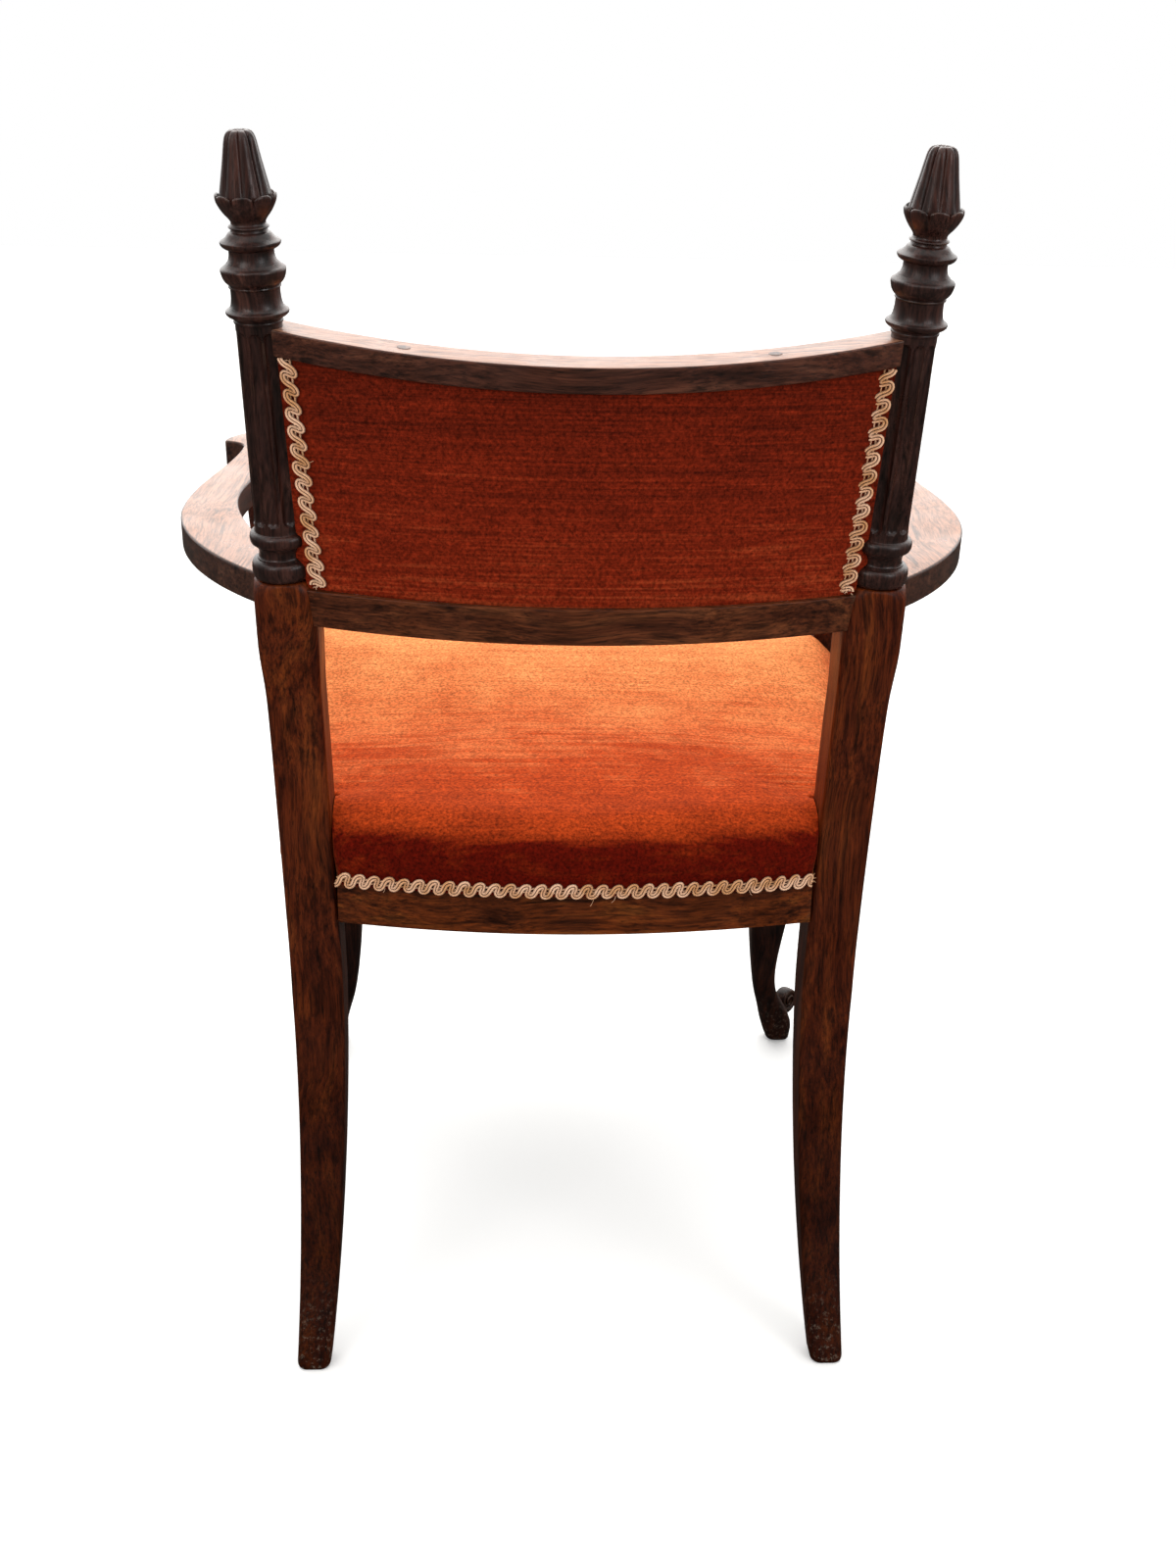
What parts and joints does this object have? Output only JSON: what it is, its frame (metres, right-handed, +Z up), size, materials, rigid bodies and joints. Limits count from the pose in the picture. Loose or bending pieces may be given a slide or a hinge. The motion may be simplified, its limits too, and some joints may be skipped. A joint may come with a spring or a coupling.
{
  "type": "upholstered chair",
  "caption": "Open-arm wooden chair with turned, fluted back posts and finials, sabre back legs, scroll front feet, velvet seat and bowed velvet back edged with braid.",
  "frame": {"origin": "on the floor, under the middle of the bounding box", "axes": "+Z up, -Y to the front the sitter faces, +X to the sitter's left"},
  "size_m": [0.656, 0.6211, 0.9568],
  "materials": {
    "rosewood": "french polished, worn at the edges, dark figure",
    "dark_rosewood": "polished, nearly black",
    "beech": "sawn, unpolished",
    "seat_velvet": "worn cut pile",
    "back_velvet": "worn cut pile with level streaks",
    "gimp": "woven double cord braid, slightly frayed",
    "jute": "plain woven",
    "horsehair": "matted hair under calico",
    "black_cloth": "thin plain cotton",
    "steel": "dull"
  },
  "bodies": {
    "root": {"back_post_left": "rosewood", "back_post_right": "rosewood", "top_rail": "rosewood", "lower_back_rail": "rosewood", "seat_rail_back": "rosewood", "seat_rail_front": "rosewood", "seat_rail_left": "rosewood", "seat_rail_right": "rosewood", "front_leg_left": "rosewood", "front_leg_right": "rosewood", "arm_left": "rosewood", "arm_right": "rosewood", "arm_support_left": "rosewood", "arm_support_right": "rosewood", "finial_left": "dark_rosewood", "finial_right": "dark_rosewood", "top_rail_pellets": "dark_rosewood", "back_stile_left": "beech", "back_stile_right": "beech", "corner_blocks": "beech", "arm_dowels": "beech", "seat_cover": "seat_velvet", "inside_back": "seat_velvet", "outside_back": "back_velvet", "back_gimp_left": "gimp", "back_gimp_right": "gimp", "front_back_gimp": "gimp", "seat_gimp_back": "gimp", "seat_gimp_front": "gimp", "seat_gimp_left": "gimp", "seat_gimp_right": "gimp", "back_webbing": "jute", "back_hessian": "jute", "seat_webbing_long": "jute", "seat_webbing_cross": "jute", "seat_hessian": "jute", "back_pad": "horsehair", "seat_stuffing": "horsehair", "bottom_cloth": "black_cloth", "corner_block_screws": "steel"}
  },
  "joints": []
}
